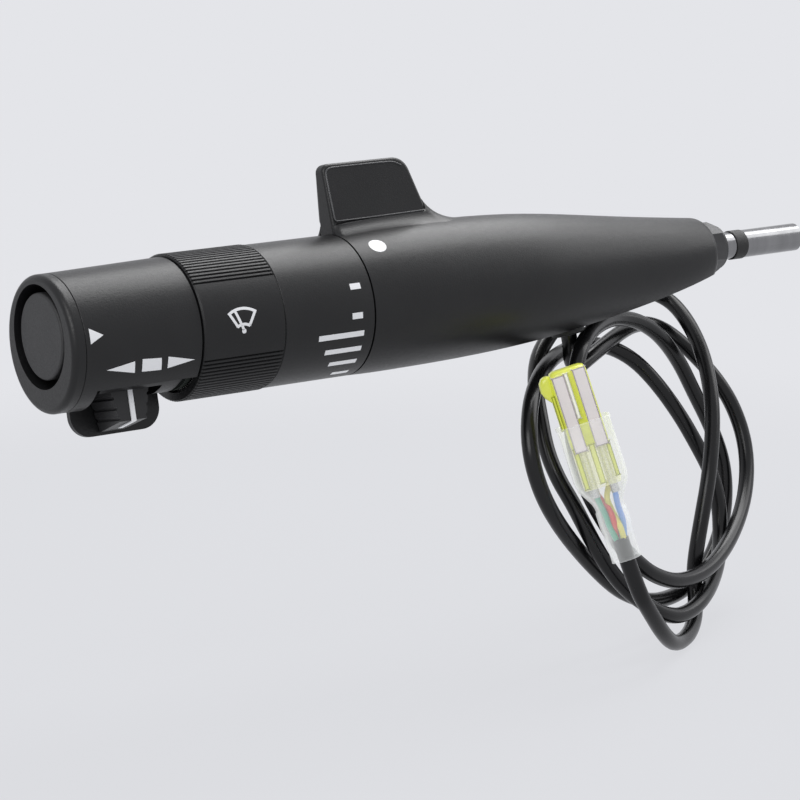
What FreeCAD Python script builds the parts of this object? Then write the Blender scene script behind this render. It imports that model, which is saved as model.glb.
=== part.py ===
import FreeCAD, Part
import math
import os
import re

import Sketcher

from FreeCAD import Placement, Rotation, Vector

# Combination stalk switch of a vehicle's steering column.
# The origin is on the mounting rod's axis, where its free stretch begins.
# +X runs along the stalk to the rod's free end, and +Z is the side of the thumb paddle.

doc = FreeCAD.newDocument("StalkSwitch")
sheet = doc.addObject("Spreadsheet::Sheet", "Sizes")

# Driving sizes in millimetres, or degrees where the name ends in angle.
SIZES = [
    ("axis_drop", 2.0, "tube axis below the axis of rod and button"),
    ("fit_gap", 0.1, "gap between pieces fixed to each other"),
    ("run_gap", 0.3, "gap between pieces that move past each other"),
    ("turn_gap", 0.05, "radial clearance of a turning or sliding fit"),
    ("rod_radius", 4.0, "mounting rod"),
    ("rod_free", 21.5, "free stretch of the rod"),
    ("rod_chamfer", 1.2, "chamfer of the rod's free end"),
    ("rod_depth", 40.5, "rod held inside the housing"),
    ("neck_radius", 3.85, "rod between nut and rubber ring"),
    ("neck_length", 5.3, "length of that neck"),
    ("seal_width", 4.4, "groove for the rubber ring"),
    ("seal_inner", 3.1, "radius of the groove's floor"),
    ("seal_outer", 4.2, "rubber ring's outer radius"),
    ("seal_offset", 0.2, "groove's end behind the origin"),
    ("washer_thick", 0.6, "thin washer under the nut's face"),
    ("washer_radius", 6.3, "thin washer"),
    ("nut_flats", 13.0, "nut across flats"),
    ("nut_thick", 5.0, "nut's height"),
    ("sleeve_radius", 6.2, "rod sleeve moulded into the tail"),
    ("body_length", 125.1, "housing from collar to tail face"),
    ("body_wall", 2.3, "housing's wall"),
    ("nose_radius", 18.7, "housing where it meets the collar"),
    ("chest_radius", 19.2, "housing behind the paddle"),
    ("belly_radius", 19.0, "housing under the paddle's root"),
    ("waist_radius", 18.2, "housing half way along"),
    ("hip_radius", 16.0, "housing over the cable's exit"),
    ("shank_radius", 13.6, "housing's slim part"),
    ("tail_radius", 9.6, "housing at the tail face"),
    ("tail_round", 3.6, "rounded edge of the tail face"),
    ("keel_radius", 445.0, "long curve of the flattened underside"),
    ("keel_forward", 16.1, "keel's centre behind the collar's seam"),
    ("keel_drop", 20.8, "lowest point of the underside"),
    ("paddle_root", 33.2, "paddle's length at its root"),
    ("paddle_tip", 26.4, "paddle's length at its tip"),
    ("paddle_height", 35.2, "paddle's tip above the origin"),
    ("paddle_start", 11.0, "paddle's root inside the housing"),
    ("paddle_thick", 8.0, "paddle's thickness at its root"),
    ("paddle_thin", 3.9, "paddle's thickness at its tip"),
    ("paddle_corner", 5.0, "rounded corner towards the tail"),
    ("paddle_front", 2.2, "rounded corner towards the head"),
    ("socket_radius", 16.4, "bore in the housing's front"),
    ("socket_depth", 15.0, "depth of that bore"),
    ("collar_length", 27.7, "scale collar"),
    ("collar_radius", 18.7, "scale collar"),
    ("collar_edge", 0.25, "chamfer of the collar's ends"),
    ("grip_length", 24.3, "knurled ring"),
    ("grip_radius", 18.95, "knurled ring"),
    ("grip_edge", 0.4, "chamfer of the ring's ends"),
    ("grip_bore", 16.65, "bore of ring and collar"),
    ("rib_pitch_angle", 3.5, "pitch of the ribs"),
    ("rib_depth", 0.45, "depth of the grooves between ribs"),
    ("rib_width", 0.7, "width of those grooves"),
    ("panel_angle", 58.5, "plain panel of the ring"),
    ("drum_radius", 16.55, "sleeve that carries ring and collar"),
    ("tube_radius", 15.0, "support tube"),
    ("tube_bore", 13.0, "support tube's bore"),
    ("board_thick", 1.4, "wiper contact board"),
    ("board_radius", 15.95, "wiper contact board"),
    ("clip_thick", 1.0, "retaining ring"),
    ("clip_depth", 0.6, "depth of its groove"),
    ("ball_radius", 1.5, "detent ball"),
    ("cap_length", 32.4, "head cap behind the bezel"),
    ("cap_front", 17.5, "head cap's front radius"),
    ("cap_rear", 18.2, "head cap's rear radius"),
    ("cap_bore", 16.1, "head cap's bore"),
    ("cap_edge", 0.15, "chamfer at the bezel"),
    ("web_thick", 2.0, "wall behind the button"),
    ("spigot_length", 4.4, "bezel's spigot in the cap"),
    ("bezel_length", 3.6, "bezel in front of the cap"),
    ("bezel_proud", 0.6, "bezel in front of the button's face"),
    ("bezel_round", 1.5, "bezel's outer rounding"),
    ("button_opening", 13.2, "bezel's bore"),
    ("button_radius", 11.0, "push button"),
    ("button_skirt", 4.5, "push button's depth"),
    ("button_wall", 1.6, "push button's wall"),
    ("button_travel", 2.5, "push button's travel"),
    ("stem_radius", 2.5, "push button's stem"),
    ("button_face", 2.0, "push button's face"),
    ("stem_proud", 0.5, "stem behind the wall"),
    ("dome_wide", 6.4, "wide end of the rubber return dome"),
    ("dome_wall", 0.5, "return dome's wall"),
    ("window_height", 13.2, "cut-away under the head, below the tube axis"),
    ("window_front", 4.3, "cut-away's start behind the cap's front"),
    ("axle_radius", 1.5, "selector's axle"),
    ("axle_forward", 16.7, "selector's axle in front of the cap's rear"),
    ("axle_height", 6.0, "selector's axle below the tube axis"),
    ("knob_width", 11.4, "selector knob at the cut-away"),
    ("knob_tip", 6.8, "selector knob at its tip"),
    ("knob_depth", 12.0, "selector knob from front to back"),
    ("knob_front", 7.0, "selector knob's front face before the tube axis"),
    ("knob_top", 6.6, "knob's shoulder below its axle"),
    ("knob_reach", 17.8, "knob's tip below its axle"),
    ("knob_slope", 2.2, "how much the tip rises to the front"),
    ("guard_thick", 1.6, "thumb guard"),
    ("guard_width", 25.7, "thumb guard"),
    ("guard_reach", 24.6, "guard's lower edge below the tube axis"),
    ("cable_radius", 2.25, "cable"),
    ("grommet_radius", 3.4, "cable grommet in the wall"),
    ("plug_width", 12.0, "plug housing"),
    ("plug_depth", 9.0, "plug housing"),
    ("plug_length", 33.0, "plug housing"),
    ("boot_width", 15.3, "clear boot's wide end"),
    ("boot_depth", 11.4, "clear boot's wide end"),
    ("boot_start", 15.0, "boot's edge below the plug's mating face"),
    ("boot_neck", 4.05, "radius of the boot's round end"),
    ("boot_wall", 0.7, "boot's wall"),
    ("wire_radius", 0.65, "coloured wires"),
]

# Places worked out from those sizes.
PLACES = [
    ("washer_x", "-(seal_offset + seal_width + neck_length + washer_thick)"),
    ("nut_x", "washer_x - nut_thick"),
    ("tail_x", "nut_x"),
    ("nose_x", "tail_x - body_length"),
    ("collar_x", "nose_x - collar_length"),
    ("grip_x", "collar_x - grip_length"),
    ("cap_x", "grip_x - cap_length"),
    ("bezel_x", "cap_x - bezel_length"),
    ("button_x", "bezel_x + bezel_proud"),
    ("web_x", "cap_x + spigot_length + fit_gap"),
    ("core_x", "web_x + web_thick + fit_gap"),
    ("core_end_x", "grip_x - 2 * board_thick + fit_gap"),
    ("axle_x", "grip_x - axle_forward"),
    ("axle_z", "-axis_drop - axle_height"),
    ("window_z", "-axis_drop - window_height"),
]

for row, (alias, value, note) in enumerate(SIZES, start=1):
    sheet.set(f"A{row}", note)
    sheet.set(f"B{row}", str(value))
    sheet.setAlias(f"B{row}", alias)
for row, (alias, formula) in enumerate(PLACES, start=len(SIZES) + 2):
    sheet.set(f"A{row}", "worked out")
    sheet.set(f"B{row}", "=" + formula)
    sheet.setAlias(f"B{row}", alias)
doc.recompute()

NAMES = {entry[0] for entry in SIZES + PLACES}
EXPORTS = {}


def bound(words):
    """An expression with each size's name pointing at the sheet."""
    def point(match):
        return "Sizes." + match.group(0) if match.group(0) in NAMES else match.group(0)
    return re.sub(r"[a-z][a-z_0-9]*", point, words)


def size(name):
    """A size or place as a number."""
    return float(sheet.get(name))


def keep(node, obj):
    """Name an object as the sub-part that it is."""
    obj.Label = node
    EXPORTS[node] = obj
    return obj


TURNS = {
    "X": Rotation(Vector(0, 1, 0), 90),
    "Y": Rotation(Vector(1, 0, 0), -90),
    "Z": Rotation(),
}


def place(obj, x="0", y="0", z="0", along="Z"):
    obj.Placement = Placement(Vector(), TURNS[along])
    for side, words in zip("xyz", (x, y, z)):
        if words != "0":
            obj.setExpression("Placement.Base." + side, bound(words))
    return obj


def primitive(kind, label, sizes, **where):
    obj = doc.addObject("Part::" + kind, label)
    for name, words in sizes.items():
        obj.setExpression(name, bound(words))
    return place(obj, **where)


def rod(label, radius, length, **where):
    return primitive("Cylinder", label, {"Radius": radius, "Height": length}, **where)


def block(label, length, width, height, **where):
    return primitive("Box", label, {"Length": length, "Width": width, "Height": height}, **where)


def cut(label, base, *tools):
    """The base without the tools."""
    result = doc.addObject("Part::Cut", label)
    result.Base = base
    result.Tool = tools[0] if len(tools) == 1 else fuse(label + "_tools", *tools)
    return result


def fuse(label, *pieces):
    result = doc.addObject("Part::MultiFuse", label)
    result.Shapes = list(pieces)
    result.Refine = True
    return result


def draw(body, name, role, corners):
    """A closed outline whose corners are bound to the sheet."""
    sketch = body.newObject("Sketcher::SketchObject", name)
    plane = [item for item in body.Origin.OriginFeatures if item.Role == role][0]
    sketch.AttachmentSupport = [(plane, "")]
    sketch.MapMode = "FlatFace"
    count = len(corners)
    start = []
    for index in range(count):
        turn = 2 * math.pi * index / count
        start.append(Vector(20 + 10 * math.cos(turn), 20 + 10 * math.sin(turn), 0))
    for index in range(count):
        sketch.addGeometry(Part.LineSegment(start[index], start[(index + 1) % count]), False)
    for index in range(count):
        sketch.addConstraint(Sketcher.Constraint("Coincident", index, 2, (index + 1) % count, 1))
    for index, corner in enumerate(corners):
        for kind, axis, words in (("DistanceX", -2, corner[0]), ("DistanceY", -1, corner[1])):
            if words == "0":
                sketch.addConstraint(Sketcher.Constraint("PointOnObject", index, 1, axis))
            else:
                number = sketch.addConstraint(Sketcher.Constraint(kind, -1, 1, index, 1, 10.0))
                sketch.setExpression(f"Constraints[{number}]", bound(words))
    return sketch


def turned(label, corners, x, z="-axis_drop"):
    """A turned piece: corners are (distance from its front, radius)."""
    body = doc.addObject("PartDesign::Body", label)
    sketch = draw(body, label + "_profile", "XZ_Plane", corners)
    turn = body.newObject("PartDesign::Revolution", label + "_turn")
    turn.Profile = sketch
    turn.ReferenceAxis = (sketch, ["H_Axis"])
    turn.Angle = 360
    sketch.Visibility = False
    return place(body, x=x, z=z)


def rounded(label, base, chooser, radius):
    """Fillet the edges that the chooser picks."""
    doc.recompute()
    picked = [number for number, edge in enumerate(base.Shape.Edges, start=1) if chooser(edge)]
    fillet = doc.addObject("Part::Fillet", label)
    fillet.Base = base
    fillet.Edges = [(number, radius, radius) for number in picked]
    return fillet


# Mounting rod, its nut, washer, rubber ring and the sleeve that holds it

keep("mounting_rod", turned("mounting_rod", [
    ("0", "0"),
    ("0", "rod_radius"),
    ("rod_depth + nut_thick + washer_thick", "rod_radius"),
    ("rod_depth + nut_thick + washer_thick", "neck_radius"),
    ("rod_depth + nut_thick + washer_thick + neck_length", "neck_radius"),
    ("rod_depth + nut_thick + washer_thick + neck_length", "seal_inner"),
    ("rod_depth - tail_x - seal_offset", "seal_inner"),
    ("rod_depth - tail_x - seal_offset", "rod_radius"),
    ("rod_depth - tail_x + rod_free - rod_chamfer", "rod_radius"),
    ("rod_depth - tail_x + rod_free", "rod_radius - rod_chamfer"),
    ("rod_depth - tail_x + rod_free", "0"),
], x="tail_x - rod_depth", z="0"))

keep("rod_seal", turned("rod_seal", [
    ("0", "seal_inner + turn_gap"),
    ("0", "seal_outer - 0.8 * turn_gap - fit_gap"),
    ("2 * fit_gap", "seal_outer"),
    ("seal_width - 4 * fit_gap", "seal_outer"),
    ("seal_width - 2 * fit_gap", "seal_outer - 0.8 * turn_gap - fit_gap"),
    ("seal_width - 2 * fit_gap", "seal_inner + turn_gap"),
], x="-seal_offset - seal_width + fit_gap", z="0"))

keep("rod_washer", cut(
    "rod_washer_disc",
    rod("washer_blank", "washer_radius", "washer_thick - fit_gap", x="washer_x + fit_gap", along="X"),
    rod("washer_hole", "rod_radius + turn_gap", "2 * washer_thick", x="washer_x - washer_thick / 2", along="X"),
))

nut_prism = doc.addObject("Part::Prism", "nut_prism")
nut_prism.Polygon = 6
nut_prism.setExpression("Circumradius", bound("nut_flats / sqrt(3)"))
nut_prism.setExpression("Height", bound("nut_thick - fit_gap"))
place(nut_prism, x="nut_x + fit_gap", along="X")
nut_cone = primitive("Cone", "nut_cone", {
    "Radius1": "nut_flats / 2 + nut_thick",
    "Radius2": "nut_flats / 2 - fit_gap",
    "Height": "nut_thick - fit_gap",
}, x="nut_x + fit_gap", along="X")
nut_blank = doc.addObject("Part::Common", "nut_blank")
nut_blank.Base = nut_prism
nut_blank.Tool = nut_cone
keep("jam_nut", cut(
    "jam_nut_body",
    nut_blank,
    rod("nut_hole", "rod_radius + turn_gap", "2 * nut_thick", x="nut_x - nut_thick / 2", along="X"),
))

keep("rod_sleeve", cut(
    "rod_sleeve_body",
    rod("sleeve_blank", "sleeve_radius", "rod_depth - 1", x="tail_x - rod_depth + 1", along="X"),
    rod("sleeve_hole", "rod_radius + turn_gap", "rod_depth + 2", x="tail_x - rod_depth", along="X"),
))

# Main housing: a lofted round shell with a flattened underside and the thumb paddle

HULL = [
    ("nose_x", "nose_radius", "-axis_drop"),
    ("nose_x + 0.165 * body_length", "chest_radius", "-axis_drop + 0.4"),
    ("nose_x + 0.325 * body_length", "belly_radius", "-axis_drop + 0.4"),
    ("nose_x + 0.485 * body_length", "waist_radius", "-axis_drop + 0.2"),
    ("nose_x + 0.645 * body_length", "hip_radius", "-axis_drop + 0.2"),
    ("nose_x + 0.805 * body_length", "shank_radius", "-axis_drop + 0.1"),
    ("tail_x", "tail_radius", "-0.3 * axis_drop"),
]


def lofted(label, stations):
    """A smooth solid through round sections."""
    rings = []
    for number, (x, radius, z) in enumerate(stations):
        ring = doc.addObject("Part::Circle", f"{label}_section{number}")
        ring.setExpression("Radius", bound(radius))
        rings.append(place(ring, x=x, z=z, along="X"))
    loft = doc.addObject("Part::Loft", label)
    loft.Sections = rings
    loft.Solid = True
    loft.Ruled = False
    return loft


hull = lofted("hull", HULL)
hull = rounded(
    "hull_rounded", hull,
    lambda edge: edge.Length < 2 * math.pi * size("tail_radius") + 1
    and abs(edge.BoundBox.XMax - size("tail_x")) < 0.01 and edge.BoundBox.XLength < 0.01,
    size("tail_round"),
)

keel_block = block(
    "keel_block", "0.98 * body_length", "6 * nose_radius", "2 * nose_radius",
    x="nose_x + 0.13 * body_length", y="-3 * nose_radius", z="-keel_drop - nose_radius",
)
keel_curve = rod(
    "keel_curve", "keel_radius", "6 * nose_radius",
    x="nose_x + keel_forward", y="-3 * nose_radius", z="keel_radius - keel_drop", along="Y",
)
hull_flat = cut("hull_flat", hull, cut("keel_cutter", keel_block, keel_curve))

paddle_wedge = doc.addObject("Part::Wedge", "paddle_wedge")
WEDGE = {
    "Xmin": "-paddle_thick / 2", "Xmax": "paddle_thick / 2",
    "X2min": "-paddle_thin / 2", "X2max": "paddle_thin / 2",
    "Ymin": "0", "Ymax": "paddle_height - paddle_start",
    "Zmin": "0", "Zmax": "paddle_root",
    "Z2min": "0", "Z2max": "paddle_tip",
}
for name, words in WEDGE.items():
    paddle_wedge.setExpression(name, bound(words))
paddle_wedge.Placement = Placement(Vector(), Rotation(Vector(0, 1, 0), Vector(0, 0, 1), Vector(1, 0, 0), "ZXY"))
paddle_wedge.setExpression("Placement.Base.x", bound("nose_x + fit_gap"))
paddle_wedge.setExpression("Placement.Base.z", bound("paddle_start"))


def top_corner(side):
    """Chooser for the paddle's top edge across its thickness, at one end of its length."""
    def choose(edge):
        box = edge.BoundBox
        if box.ZMin < size("paddle_height") - 0.01 or box.YLength < 1:
            return False
        near_front = box.XMax < size("nose_x") + 1
        return near_front if side == "front" else not near_front
    return choose


paddle = rounded("paddle_tail_corner", paddle_wedge, top_corner("tail"), size("paddle_corner"))
paddle = rounded("paddle_head_corner", paddle, top_corner("front"), size("paddle_front"))
paddle = rounded(
    "paddle_edges", paddle,
    lambda edge: edge.BoundBox.ZMax > size("paddle_height") - 6.5
    and edge.BoundBox.YLength < 0.5 * (size("paddle_thick") - size("paddle_thin")) + 0.1,
    0.9,
)
shell = fuse("shell", hull_flat, paddle)

INNER = [
    ("nose_x + socket_depth - 1", "socket_radius", "-axis_drop"),
    ("nose_x + 0.325 * body_length", "belly_radius - 1.1 * body_wall", "-axis_drop + 0.4"),
    ("nose_x + 0.485 * body_length", "waist_radius - 1.4 * body_wall", "-axis_drop + 0.8"),
    ("nose_x + 0.645 * body_length", "hip_radius - 1.5 * body_wall", "-axis_drop + 1"),
]
shell_open = cut(
    "shell_open", shell,
    lofted("hollow", INNER),
    rod("socket", "socket_radius", "socket_depth", x="nose_x", z="-axis_drop", along="X"),
    rod("sleeve_seat", "sleeve_radius + fit_gap", "0.4 * body_length", x="tail_x - rod_depth - 2", along="X"),
)

# Place of the cable's exit in the flattened underside
EXIT_X = size("nose_x") + 0.6 * size("body_length")
EXIT_Y = 1.0
keel_x = size("nose_x") + size("keel_forward")
exit_angle = math.asin((EXIT_X - keel_x) / size("keel_radius"))
EXIT_Z = size("keel_radius") * (1 - math.cos(exit_angle)) - size("keel_drop")
exit_down = Vector(math.sin(exit_angle), 0, -math.cos(exit_angle))
exit_point = Vector(EXIT_X, EXIT_Y, EXIT_Z)
exit_turn = Rotation(Vector(0, 0, 1), exit_down)

exit_hole = rod("exit_hole", "grommet_radius + turn_gap", "4 * body_wall")
exit_hole.Placement = Placement(exit_point - exit_down * 3 * size("body_wall"), exit_turn)
housing = keep("main_housing", cut("main_housing_body", shell_open, exit_hole))

# Rubber grommet at the cable's exit
GROMMET_IN = 6.0
GROMMET_LIP = 1.4
grommet = Part.makeCylinder(size("grommet_radius"), GROMMET_IN + GROMMET_LIP)
lip = Part.makeCylinder(size("grommet_radius") + 1.3, GROMMET_LIP, Vector(0, 0, GROMMET_IN))
lip = lip.makeFillet(0.5, [lip.Edges[0]])
grommet = grommet.fuse(lip).removeSplitter()
passage = Part.makeCylinder(size("cable_radius") + size("turn_gap"), 20, Vector(0, 0, -5))
cable_grommet = doc.addObject("Part::Feature", "cable_grommet")
cable_grommet.Shape = grommet.cut(passage)
cable_grommet.Placement = Placement(exit_point - exit_down * (GROMMET_IN - 0.35), exit_turn)
keep("cable_grommet", cable_grommet)

# Support tube with its bush and retaining ring

tube_body = turned("tube_blank", [
    ("0", "tube_bore"),
    ("0", "tube_radius"),
    ("nose_x - core_end_x - fit_gap", "tube_radius"),
    ("nose_x - core_end_x - fit_gap", "tube_radius - clip_depth"),
    ("nose_x - core_end_x + clip_thick", "tube_radius - clip_depth"),
    ("nose_x - core_end_x + clip_thick", "tube_radius"),
    ("nose_x - core_end_x + socket_depth", "tube_radius"),
    ("nose_x - core_end_x + socket_depth", "tube_bore"),
], x="core_end_x + fit_gap")

SCREW_RADIUS = 1.5
screw_x = size("core_end_x") + 5.0
screw_z = -size("axis_drop")


def across(label, radius, length, y):
    """A round bar along Y at the head screws' place."""
    bar = doc.addObject("Part::Cylinder", label)
    bar.Radius = radius
    bar.Height = length
    bar.Placement = Placement(Vector(screw_x, y, screw_z), TURNS["Y"])
    return bar


reach = size("tube_radius")
ball_x = size("grip_x") + 12.0
ball_z = screw_z + reach - size("run_gap") - size("ball_radius")
ball_hole = doc.addObject("Part::Cylinder", "ball_hole")
ball_hole.Radius = size("ball_radius") + size("turn_gap")
ball_hole.Height = 6
ball_hole.Placement = Placement(Vector(ball_x, 0, screw_z + size("tube_bore") - 2), Rotation())
keep("support_tube", cut(
    "support_tube_body", tube_body,
    across("screw_hole_tube", SCREW_RADIUS + 0.05, 4 * reach, -2 * reach),
    ball_hole,
))
keep("tube_bush", cut(
    "tube_bush_body",
    rod("bush_blank", "socket_radius - fit_gap", "socket_depth - clip_thick - 1.2",
        x="nose_x + clip_thick + 0.5", z="-axis_drop", along="X"),
    rod("bush_hole", "tube_radius + turn_gap", "2 * socket_depth", x="nose_x - 2", z="-axis_drop", along="X"),
))
clip_gap = block("clip_gap", "3 * clip_thick", "8", "2 * tube_radius",
                 x="nose_x - clip_thick", y="-4", z="-axis_drop - 2 * tube_radius - 4")
keep("retaining_ring", cut(
    "retaining_ring_body",
    rod("clip_blank", "tube_radius + 1.1", "clip_thick - fit_gap", x="nose_x + fit_gap / 2", z="-axis_drop", along="X"),
    rod("clip_hole", "tube_radius - clip_depth + turn_gap", "3 * clip_thick",
        x="nose_x - clip_thick", z="-axis_drop", along="X"),
    clip_gap,
))
ball = doc.addObject("Part::Sphere", "detent_ball")
ball.setExpression("Radius", bound("ball_radius"))
ball.Placement = Placement(Vector(ball_x, 0, ball_z), Rotation())
keep("detent_ball", ball)


def coil_spring(label, radius, wire, length, turns):
    """A round-wire spring along its own Z, from its lower end."""
    rise = length - wire
    path = Part.Wire(Part.makeHelix(rise / turns, rise, radius).Edges)
    start = Part.Wire(Part.makeCircle(wire / 2, Vector(radius, 0, 0), Vector(0, 1, 0)))
    spring = doc.addObject("Part::Feature", label)
    spring.Shape = path.makePipeShell([start], True, True)
    return keep(label, spring)


BALL_SPRING_WIRE = 0.35
spring_floor = screw_z + size("tube_bore") - 5.4
spring_top = ball_z - size("ball_radius") - 0.02
ball_spring = coil_spring("detent_spring", 1.0, BALL_SPRING_WIRE, spring_top - spring_floor, 4)
ball_spring.Placement = Placement(Vector(ball_x, 0, spring_floor + BALL_SPRING_WIRE / 2), Rotation())

seat_blank = block("seat_blank", "8", "8", "8.2", x="grip_x + 8", y="-4", z="-axis_drop + tube_bore - 7")
seat_bound = rod("seat_bound", "tube_bore - fit_gap", "10", x="grip_x + 7", z="-axis_drop", along="X")
seat_common = doc.addObject("Part::Common", "seat_common")
seat_common.Base = seat_blank
seat_common.Tool = seat_bound
seat_bore = doc.addObject("Part::Cylinder", "seat_bore")
seat_bore.Radius = size("ball_radius") + size("turn_gap")
seat_bore.Height = 12
seat_bore.Placement = Placement(Vector(ball_x, 0, spring_floor), Rotation())
keep("detent_seat", cut("detent_seat_body", seat_common, seat_bore))

# Turning grip: sleeve, knurled ring, scale collar and wiper brush

keep("grip_sleeve", turned("grip_sleeve", [
    ("0", "tube_radius + turn_gap"),
    ("0", "drum_radius"),
    ("nose_x - run_gap - grip_x - board_thick - 1", "drum_radius"),
    ("nose_x - run_gap - grip_x - board_thick - 1", "tube_radius + turn_gap"),
], x="grip_x + board_thick + 1"))

keep("scale_collar", turned("scale_collar", [
    ("0", "grip_bore"),
    ("0", "collar_radius - collar_edge"),
    ("collar_edge", "collar_radius"),
    ("collar_length - run_gap - collar_edge", "collar_radius"),
    ("collar_length - run_gap", "collar_radius - collar_edge"),
    ("collar_length - run_gap", "grip_bore"),
], x="collar_x"))

ring = doc.addObject("PartDesign::Body", "ring_body")
ring_profile = draw(ring, "ring_profile", "XZ_Plane", [
    ("0", "grip_bore"),
    ("0", "grip_radius - grip_edge"),
    ("grip_edge", "grip_radius"),
    ("grip_length - run_gap - grip_edge", "grip_radius"),
    ("grip_length - run_gap", "grip_radius - grip_edge"),
    ("grip_length - run_gap", "grip_bore"),
])
ring_turn = ring.newObject("PartDesign::Revolution", "ring_turn")
ring_turn.Profile = ring_profile
ring_turn.ReferenceAxis = (ring_profile, ["H_Axis"])
ring_turn.Angle = 360
doc.recompute()

# The first groove between ribs lies beside the plain panel, which faces -Y
rib_count = int((360 - size("panel_angle")) / size("rib_pitch_angle"))
groove = draw(ring, "groove_profile", "YZ_Plane", [
    ("grip_radius + rib_depth", "rib_width / 2 + rib_depth / 2"),
    ("grip_radius - rib_depth", "rib_width / 10"),
    ("grip_radius - rib_depth", "-rib_width / 10"),
    ("grip_radius + rib_depth", "-rib_width / 2 - rib_depth / 2"),
])
first_angle = 180 + size("panel_angle") / 2 + size("rib_pitch_angle") / 2
groove.AttachmentOffset = Placement(Vector(), Rotation(Vector(0, 0, 1), first_angle))
rib_cut = ring.newObject("PartDesign::Pocket", "rib_cut")
rib_cut.Profile = groove
rib_cut.Type = 1
rib_cut.Midplane = False
rib_cut.Reversed = True
doc.recompute()
pattern = ring.newObject("PartDesign::PolarPattern", "rib_pattern")
pattern.Originals = [rib_cut]
pattern.Axis = (ring_profile, ["H_Axis"])
pattern.Angle = size("rib_pitch_angle") * (rib_count - 1)
pattern.Occurrences = rib_count
ring.Tip = pattern
place(ring, x="grip_x + run_gap", z="-axis_drop")
keep("grip_ring", ring)

keep("wiper_board", cut(
    "wiper_board_body",
    rod("board_blank", "board_radius", "board_thick", x="core_end_x + board_thick + fit_gap", z="-axis_drop", along="X"),
    rod("board_hole", "tube_radius + turn_gap", "3 * board_thick", x="core_end_x", z="-axis_drop", along="X"),
))
brush = cut(
    "brush_ring",
    rod("brush_blank", "board_radius - 0.1", "0.9", x="grip_x + board_thick + 0.05", z="-axis_drop", along="X"),
    rod("brush_hole", "tube_radius + run_gap", "4", x="grip_x", z="-axis_drop", along="X"),
)
brush_sector = doc.addObject("Part::Common", "brush_sector")
brush_sector.Base = brush
brush_sector.Tool = block("brush_window", "4", "30", "10", x="grip_x", y="-15", z="-axis_drop - board_radius - 2")
keep("wiper_brush", brush_sector)

# Head cap with the wall behind the button and the cut-away for the selector

cap_shell = turned("cap_shell", [
    ("0", "cap_bore"),
    ("0", "cap_front - cap_edge"),
    ("cap_edge", "cap_front"),
    ("cap_length - run_gap / 2", "cap_rear"),
    ("cap_length - run_gap / 2", "cap_bore"),
    ("spigot_length + fit_gap + web_thick", "cap_bore"),
    ("spigot_length + fit_gap + web_thick", "0"),
    ("spigot_length + fit_gap", "0"),
    ("spigot_length + fit_gap", "cap_bore"),
], x="cap_x")
keep("head_cap", cut(
    "head_cap_body", cap_shell,
    rod("stem_hole", "stem_radius + turn_gap", "4 * web_thick", x="web_x - web_thick", along="X"),
    block("window", "cap_length", "3 * cap_rear", "cap_rear",
          x="cap_x + window_front", y="-1.5 * cap_rear", z="window_z - cap_rear"),
))

bezel = turned("bezel_blank", [
    ("0", "0"),
    ("0", "cap_front"),
    ("bezel_length - 0.2", "cap_front"),
    ("bezel_length - 0.2", "cap_bore - fit_gap"),
    ("bezel_length + spigot_length", "cap_bore - fit_gap"),
    ("bezel_length + spigot_length", "0"),
], x="bezel_x")
bezel = rounded(
    "bezel_outer_edge", bezel,
    lambda edge: edge.BoundBox.XLength < 0.01 and abs(edge.BoundBox.XMin - size("bezel_x")) < 0.01,
    size("bezel_round"),
)
bezel = cut("bezel_bored", bezel,
            rod("bezel_hole", "button_opening", "3 * bezel_length + spigot_length", x="bezel_x - bezel_length", along="X"))
keep("end_bezel", bezel)

# Push button with its skirt and stem, its rubber return dome and its switch

button = turned("button_blank", [
    ("0", "0"),
    ("0", "button_radius"),
    ("button_skirt", "button_radius"),
    ("button_skirt", "button_radius - button_wall"),
    ("button_face", "button_radius - button_wall"),
    ("button_face", "stem_radius"),
    ("core_x - button_x + stem_proud", "stem_radius"),
    ("core_x - button_x + stem_proud", "0"),
], x="button_x", z="0")
keep("button_cap", rounded(
    "button_edge", button,
    lambda edge: edge.BoundBox.XLength < 0.01 and abs(edge.BoundBox.XMin - size("button_x")) < 0.01,
    0.7,
))
PLUNGER_RADIUS = 1.6
SWITCH_FRONT = "core_x + stem_proud + button_travel + run_gap"
plunger = rod("switch_plunger", str(PLUNGER_RADIUS), "button_travel + 2", x="core_x + stem_proud", along="X")
keep("switch_plunger", plunger)
SWITCH = {"long": "9", "wide": "12", "high": "11"}
keep("button_switch", cut(
    "button_switch_body",
    block("switch_block", SWITCH["long"], SWITCH["wide"], SWITCH["high"], x=SWITCH_FRONT, y="-6", z="-2.6"),
    rod("plunger_bore", f"{PLUNGER_RADIUS} + turn_gap", "3 * button_travel + 1", x="core_x", along="X"),
))
keep("return_dome", turned("return_dome", [
    ("0", "stem_radius + run_gap"),
    ("0", "stem_radius + run_gap + dome_wall"),
    ("web_x - button_x - button_face - fit_gap", "dome_wide"),
    ("web_x - button_x - button_face - fit_gap", "dome_wide - dome_wall"),
], x="button_x + button_face + fit_gap / 2", z="0"))

# Selector housing with its thumb guard, the axle, the knob and its pointer

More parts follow.
